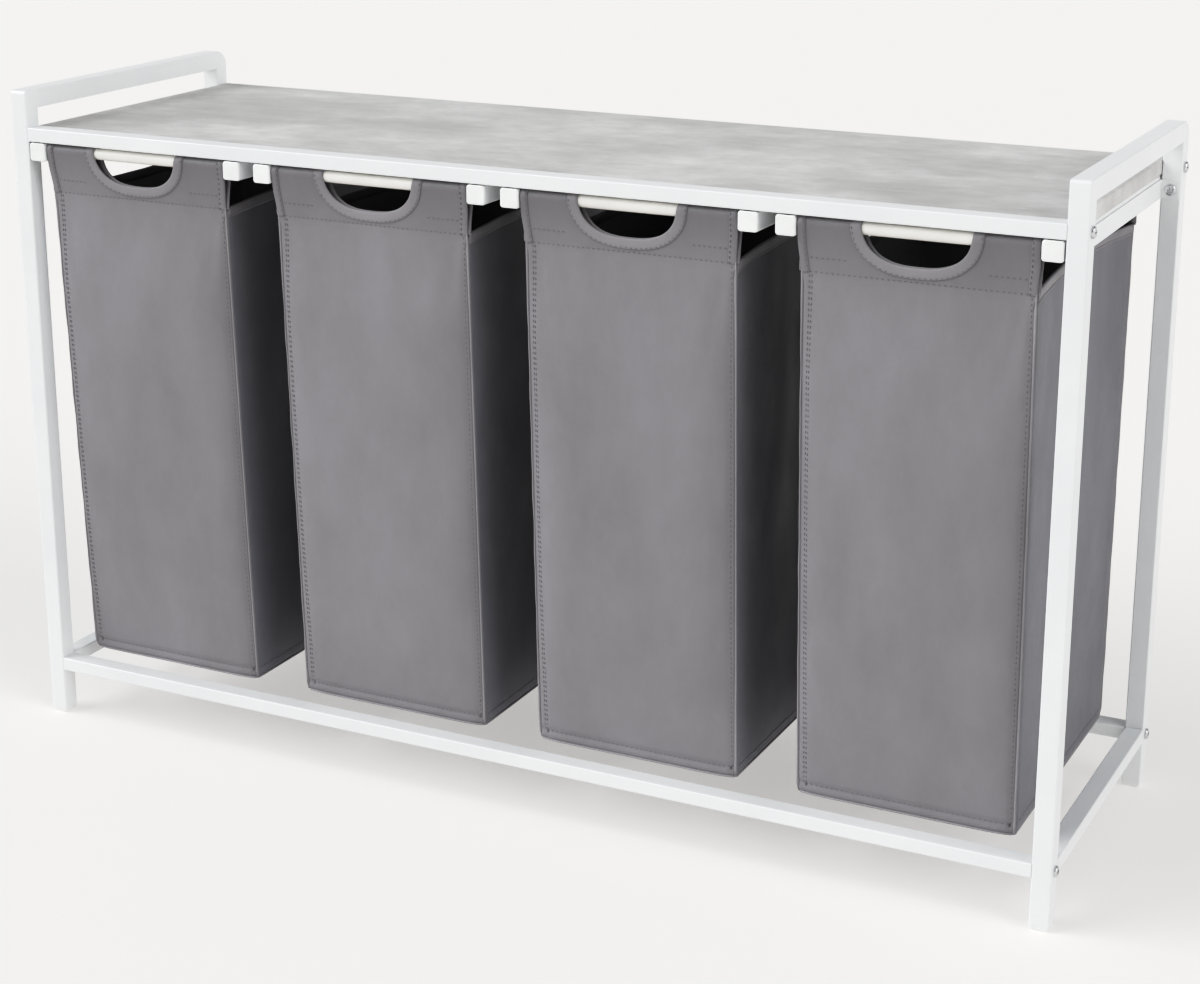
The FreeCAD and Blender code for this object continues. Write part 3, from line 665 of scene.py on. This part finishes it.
def shell(bag):
    """The whole cloth of a bag: four walls lofted up from the floor, and a sleeve over each bar."""
    columns = end_columns(bag)
    shares = stops(-1, 1, SIDE_COLUMNS)
    points, rings = [], []
    for t in stops(0, BASE_SHARE, BASE_ROWS)[:-1] + stops(BASE_SHARE, 1, WALL_ROWS):
        ring_points = []
        z = mix(bag.floor + BASE_ROUND, FOLD_START, t)
        scale = (bag.width(z) - CORNER) / bag.half
        ring_points += [bag.end_point(FRONT, x * scale, z) for x in columns]
        ring_points += [side_spot(bag, RIGHT, share, t) for share in shares]
        ring_points += [bag.end_point(REAR, -x * scale, z) for x in columns]
        ring_points += [side_spot(bag, LEFT, -share, t) for share in shares]
        rings.append(list(range(len(points), len(points) + len(ring_points))))
        points += ring_points
    faces = quads([ring + ring[:1] for ring in rings])
    across, deep = len(columns), len(shares)

    top = rings[-1]
    faces += sleeve_rows(bag, FRONT, columns, points, top[:across])
    rear_columns = [-x for x in columns]
    faces += sleeve_rows(bag, REAR, rear_columns, points, top[across + deep:2 * across + deep])
    faces += floor_faces(bag, columns, shares, points, rings[0])
    made = add_piece("bag_shell", bag, points, faces, SHELL_MATERIALS[0], CLOTH)
    for material in SHELL_MATERIALS[1:]:
        made.data.materials.append(material)
    made.modifiers["thickness"].material_offset = 1
    # the walls' faces come first, row by row, in the order front, side, rear, side
    around = 2 * (across + deep)
    walls = (len(rings) - 1) * around
    made.data.polygons.foreach_set("material_index", [
        SIDE_SLOT if k < walls and k % (across + deep) >= across else FRONT_SLOT
        for k in range(len(faces))
    ])
    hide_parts(f"laundry_bag_{bag.number}")


def strip(sections, closed=False):
    """Faces of a closed profile carried along: each section is a list of points."""
    count = len(sections[0])
    points = [point for section in sections for point in section]
    numbers = [[k * count + j for j in range(count)] for k in range(len(sections))]
    if closed:
        numbers.append(numbers[0])
    faces = quads([row + row[:1] for row in numbers])
    if not closed:
        faces += [tuple(numbers[0][::-1]), tuple(numbers[-1])]
    return points, faces


def gather(parts):
    """Several (points, faces) meshes as one."""
    points, faces = [], []
    for part_points, part_faces in parts:
        start = len(points)
        points += part_points
        faces += [tuple(k + start for k in face) for face in part_faces]
    return points, faces


def pinch(reach, thick):
    """The outline of a sewn ridge: (outward, sideways) points, rounded at its outer edge."""
    half = thick / 2
    round_end = [
        (reach - half + half * math.sin(math.radians(a)), half * math.cos(math.radians(a)))
        for a in range(15, 180, 30)
    ]
    foot, neck = (-2 * MM, half * 1.2), (reach * 0.3, half)
    return [foot, neck, *round_end, (neck[0], -neck[1]), (foot[0], -foot[1])]


# how far the corner ridges are set in, and how much and how often that wavers
CORNER_INSET = 1.1 * MM
CORNER_WOBBLE = 0.5 * MM
WOBBLE_RATE = 30


def corner_seams(bag):
    """The stitched ridges up the four corners."""
    parts = []
    outline = pinch(reach=1.9 * MM, thick=1.7 * MM)
    for side in SIDES:
        for end in ENDS:
            outward = Vector((side, end, 0)).normalized()
            across = Vector((-outward.y, outward.x, 0)) * side * end
            sections = []
            for z in stops(bag.floor + BASE_ROUND, SLEEVE_SEAM + 1 * MM, SEAM_STEPS):
                spot = Vector((side * 3, end * 5 + bag.number, z * WOBBLE_RATE))
                inset = CORNER_INSET - CORNER_WOBBLE * noise.noise(spot)
                corner = Vector((
                    bag.middle + side * (bag.width(z) - inset), bag.end_y(end, z) - end * inset, z,
                ))
                sections.append([corner + outward * a + across * b for a, b in outline])
            parts.append(strip(sections))
    add_piece("bag_corner_seams", bag, *gather(parts), BINDING)


def base_ring(bag, z, out):
    """Points round the bag at a height near its floor, with the way out of each."""
    ring = []
    reach = bag.width(z) - CORNER
    for end, side in ((FRONT, RIGHT), (REAR, LEFT)):
        for x in stops(-reach * side, reach * side, BASE_STEPS):
            ring.append((bag.end_point(end, x, z), Vector((0, end, 0))))
        for share in stops(-side, side, BASE_STEPS):
            ring.append((bag.side_point(side, share, z), Vector((side, 0, 0))))
    return [(point + way * out, way) for point, way in ring]


def base_seam(bag):
    """The ridge where the floor is sewn to the walls."""
    outline = pinch(reach=2.6 * MM, thick=1.8 * MM)
    sections = []
    for point, way in base_ring(bag, bag.floor + BASE_ROUND, -1 * MM):
        lean = (way - Vector((0, 0, 0.5))).normalized()
        up = (Vector((0, 0, 1)) - lean * lean.z).normalized()
        sections.append([point + lean * a + up * b for a, b in outline])
    add_piece("bag_base_seam", bag, *strip(sections, closed=True), BINDING)


# sections of the folded edges, in millimetres: a side hem's (outward, up) from its panel's top
# edge, and a sleeve hem's (sideways, outward) from the sleeve's end
SIDE_HEM = (
    (0.2, -10), (0.9, -9.4), (1.0, -5), (1.1, -1), (0.7, 0.6), (-0.6, 1.0),
    (-1.9, 0.6), (-2.3, -1), (-2.2, -5), (-2.1, -9.4), (-1.4, -10),
)
SLEEVE_HEM = (
    (-8, 0.1), (-7.6, 0.7), (-4, 0.8), (-0.5, 0.75), (0.5, 0.2), (0.6, -0.6), (0.3, -1.5),
    (-4, -1.4),
)

# where a sleeve hem begins along the sleeve's path, and how far short of twice the crest it ends
HEM_START = 13 * MM
HEM_END = 16 * MM


def side_hems(bag):
    """The folded hem along each side panel's top edge."""
    parts = []
    for side in SIDES:
        sections = []
        for share in stops(-0.995, 0.995, LINE_STEPS):
            section = []
            for out, up in SIDE_HEM:
                spot = bag.side_point(side, share, bag.rim(share) + up * MM)
                section.append(spot + Vector((side * out * MM, 0, 0)))
            sections.append(section)
        parts.append(strip(sections))
    add_piece("bag_side_hems", bag, *gather(parts), FABRIC)


def sleeve_hems(bag):
    """The turned-in edges at the two ends of each sleeve."""
    parts = []
    for end in ENDS:
        for side in SIDES:
            sections = []
            for path in stops(HEM_START, 2 * bag.crest - HEM_END, LINE_STEPS):
                sections.append([
                    bag.sleeve(end, side * (bag.half + along * MM), path, out * MM)
                    for along, out in SLEEVE_HEM
                ])
            parts.append(strip(sections))
    add_piece("bag_sleeve_hems", bag, *gather(parts), FABRIC)


def signed_power(value, power):
    """A number's size to a power, with the number's own sign."""
    return math.copysign(abs(value) ** power, value)


def hole_spot(bag, angle, away):
    """A point of the sleeve's cloth (x, path) at a distance outside the hand hole's edge."""
    across = signed_power(math.cos(angle), 2 / HOLE_POWER)
    down = signed_power(math.sin(angle), 2 / HOLE_POWER)
    slope = Vector((
        signed_power(across, HOLE_POWER - 1) / HOLE_HALF,
        signed_power(down, HOLE_POWER - 1) / HOLE_DEEP,
    )).normalized()
    return HOLE_HALF * across + slope.x * away, bag.crest + HOLE_DEEP * down + slope.y * away


# the binding's section in millimetres: (away from the hole's edge, outward)
BINDING_OUTLINE = (
    (-0.9, -0.5), (-0.7, 0.5), (0.2, 1.0), (2, 1.2), (5, 1.15), (8.8, 1.1), (9.8, 0.8), (10, 0),
    (9.8, -1.2), (8.8, -1.8), (2, -2.0), (0.2, -1.9), (-0.7, -1.4),
)
WELT_SIDES = 6


def welt(bag, end, away, out, thick):
    """A thin cord laid round a hand hole on the sleeve's cloth."""
    sections = []
    for k in range(HOLE_STEPS):
        angle = 2 * math.pi * k / HOLE_STEPS
        section = []
        for turn in range(WELT_SIDES):
            swing = 2 * math.pi * turn / WELT_SIDES
            x, path = hole_spot(bag, angle, away + thick / 2 * math.cos(swing))
            section.append(bag.sleeve(end, x, path, out + thick / 2 * math.sin(swing)))
        sections.append(section)
    return strip(sections, closed=True)


def bindings(bag):
    """The flat binding folded over the edge of each hand hole."""
    parts = []
    for end in ENDS:
        sections = []
        for k in range(HOLE_STEPS):
            section = []
            for away, out in BINDING_OUTLINE:
                x, path = hole_spot(bag, 2 * math.pi * k / HOLE_STEPS, away * MM)
                section.append(bag.sleeve(end, x, path, out * MM))
            sections.append(section)
        parts.append(strip(sections, closed=True))
    add_piece("bag_bindings", bag, *gather(parts), BINDING)
    seams = [welt(bag, end, away=10.2 * MM, out=0.2 * MM, thick=0.9 * MM) for end in ENDS]
    add_piece("bag_binding_seams", bag, *gather(seams), THREAD)


def sew(line):
    """Stitches along a line of (point, way out) pairs: small threads that dip in at their ends."""
    parts, travelled, begun = [], 0.0, []
    for (here, out), (there, _) in zip(line, line[1:]):
        length = (there - here).length
        while travelled < length:
            begun.append((here.lerp(there, travelled / length), (there - here).normalized(), out))
            travelled += STITCH + STITCH_GAP
        travelled -= length
    for start, along, out in begun:
        sideways = along.cross(out).normalized() * THREAD_WIDE / 2
        sections = []
        for way, rise, swell in STITCH_PROFILE:
            centre = start + along * STITCH * way + out * rise * MM
            lift = out * THREAD_WIDE / 2 * swell
            wide = sideways * swell
            sections.append([centre - wide, centre + lift, centre + wide, centre - lift])
        parts.append(strip(sections))
    return parts


def level_line(bag, end, z, low, high):
    """A stitch line along a front or rear panel at one height."""
    way = Vector((0, end, 0))
    spots = [bag.end_point(end, x, z) for x in stops(low, high, SHORT_LINE_STEPS)]
    return [(spot + way * ON_CLOTH, way) for spot in spots]


def corner_lines(bag, end, side):
    """The stitch lines at one edge of a front or rear panel and its sleeve, and the bar tack."""
    way = Vector((0, end, 0))
    base = bag.floor + BASE_STITCH
    for row in EDGE_ROWS[side]:
        inset = EDGE_STITCH[side] - row
        heights = stops(base, SLEEVE_SEAM - 1 * MM, LINE_STEPS)
        spots = [bag.end_point(end, side * (bag.width(z) - inset), z) for z in heights]
        yield [(spot + way * ON_CLOTH, way) for spot in spots]
    x = side * (bag.half - SLEEVE_STITCH)
    paths = stops(HEM_START, bag.crest - SEAM_END, SHORT_LINE_STEPS)
    yield [(bag.sleeve(end, x, path, ON_SLEEVE_HEM), way) for path in paths]
    low, high = HOLE_HALF + UPPER_HOLE_END, bag.width(UPPER_SEAM) - UPPER_END
    yield level_line(bag, end, UPPER_SEAM, side * low, side * high)
    tack = bag.width(base) - EDGE_STITCH[side]
    for k in range(TACK_ROWS):
        low, high = tack - TACK_IN, tack + TACK_OUT
        yield level_line(bag, end, base - k * TACK_STEP, side * low, side * high)


def end_lines(bag, end):
    """The stitch lines on a front or rear panel."""
    for side in SIDES:
        yield from corner_lines(bag, end, side)
    reach = bag.width(SLEEVE_SEAM) - SEAM_END
    yield level_line(bag, end, SLEEVE_SEAM, -reach, reach)
    base = bag.floor + BASE_STITCH
    reach = bag.width(base)
    yield level_line(bag, end, base, EDGE_STITCH[LEFT] - reach, reach - EDGE_STITCH[RIGHT])
    ring = []
    for angle in stops(math.pi, 2 * math.pi, HOLE_STEPS + 1):
        x, path = hole_spot(bag, angle, BINDING_STITCH)
        ring.append((bag.sleeve(end, x, path, ON_BINDING), Vector((0, end, 0))))
    yield ring


def side_lines(bag, side):
    """The stitch lines on a side panel."""
    way = Vector((side, 0, 0))
    shares = stops(-0.97, 0.97, LINE_STEPS)
    spots = [bag.side_point(side, share, bag.rim(share) - HEM_STITCH) for share in shares]
    yield [(spot + way * ON_HEM, way) for spot in spots]
    spots = [bag.side_point(side, share, bag.floor + BASE_STITCH) for share in shares]
    yield [(spot + way * ON_CLOTH, way) for spot in spots]


def stitching(bag):
    """All the visible seams' stitches."""
    parts = []
    for end in ENDS:
        for line in end_lines(bag, end):
            parts += sew(line)
    for side in SIDES:
        for line in side_lines(bag, side):
            parts += sew(line)
    add_piece("bag_stitches", bag, *gather(parts), THREAD)


def sewn_bag(number):
    """Every piece of one bag."""
    bag = Bag(number)
    shell(bag)
    corner_seams(bag)
    base_seam(bag)
    side_hems(bag)
    sleeve_hems(bag)
    bindings(bag)
    stitching(bag)


for place in range(BAGS):
    sewn_bag(place + 1)

# ---------------------------------------------------------------- stage

# the floor's side in metres, its colour, and its glow
FLOOR_SIZE = 60
FLOOR_COLOUR = (0.60, 0.588, 0.573)
FLOOR_GLOW = (1, 0.985, 0.965)
GLOW_STRENGTH = 0.34

# the cove's colours level with the floor and overhead, and the slopes it blends between
COVE_BELOW = (0.90, 0.90, 0.885)
COVE_ABOVE = (0.32, 0.325, 0.33)
COVE_BLEND = (0.14, 0.36)

# the tone curve's (from, to) points
TONES = ((0.05, 0.026), (0.13, 0.10), (0.28, 0.268), (0.48, 0.55), (0.65, 0.72), (0.8, 0.82))

# the camera's sensor width in millimetres, and how far it sees in metres
SENSOR = 36
FARTHEST = 100


def pale_floor():
    """A plain pale floor, far wider than the view, with a glow that keeps shadows light."""
    half = FLOOR_SIZE / 2
    mesh = bpy.data.meshes.new("studio_floor")
    corners = [(-half, -half, 0), (half, -half, 0), (half, half, 0), (-half, half, 0)]
    mesh.from_pydata(corners, [], [(0, 1, 2, 3)])
    material, _, surface = shader("studio_floor", 0.9, Specular_IOR_Level=0.1)
    surface.inputs["Base Color"].default_value = (*FLOOR_COLOUR, 1)
    surface.inputs["Emission Color"].default_value = (*FLOOR_GLOW, 1)
    surface.inputs["Emission Strength"].default_value = GLOW_STRENGTH
    mesh.materials.append(material)
    floor = bpy.data.objects.new("studio_floor", mesh)
    scene.collection.objects.link(floor)


def soft_sun(name, toward, strength, wide, colour):
    """A far, broad, soft light: the way to it from the piece, and its width in degrees."""
    light = bpy.data.lights.new(name, "SUN")
    light.energy = strength
    light.angle = math.radians(wide)
    light.color = colour
    made = bpy.data.objects.new(name, light)
    made.rotation_euler = Vector(toward).to_track_quat("Z", "Y").to_euler()
    scene.collection.objects.link(made)


def surround():
    """A studio cove: pale where it meets the floor, dimmer overhead."""
    world = bpy.data.worlds.new("studio_surround")
    world.use_nodes = True
    tree = world.node_tree
    way = node(tree, "ShaderNodeTexCoord").outputs["Generated"]
    height = node(tree, "ShaderNodeSeparateXYZ", {"Vector": way}).outputs["Z"]
    colour = tint(tree, COVE_BELOW, COVE_ABOVE, span(tree, height, *COVE_BLEND))
    tree.links.new(colour, tree.nodes["Background"].inputs["Color"])
    scene.world = world


def develop():
    """The photograph's tones: no film look, and a little more contrast."""
    settings = scene.view_settings
    settings.view_transform = "Standard"
    settings.use_curve_mapping = True
    curve = settings.curve_mapping.curves[ALL_CHANNELS]
    for tone in TONES:
        curve.points.new(*tone)
    settings.curve_mapping.update()


def photographer(place, turn, tilt, lens, shift):
    """The camera: how far it is turned to the left and tipped down, in degrees."""
    camera = bpy.data.cameras.new("camera")
    camera.sensor_width = SENSOR
    camera.lens = lens
    camera.shift_y = shift
    camera.clip_end = FARTHEST
    camera.dof.use_dof = False
    made = bpy.data.objects.new("camera", camera)
    made.location = place
    made.rotation_euler = (math.radians(90 - tilt), 0, math.radians(turn))
    scene.collection.objects.link(made)
    scene.camera = made


develop()
pale_floor()
surround()
soft_sun(
    "key", toward=(-0.695, -0.434, 0.574), strength=2.1, wide=45, colour=(0.965, 0.985, 1.0)
)
soft_sun("fill", toward=(0.79, -0.21, 0.574), strength=1.1, wide=40, colour=(1, 1, 1))
photographer(place=(1.0914, -2.1488, 1.0941), turn=26.373, tilt=15.946, lens=70.15, shift=-0.08)
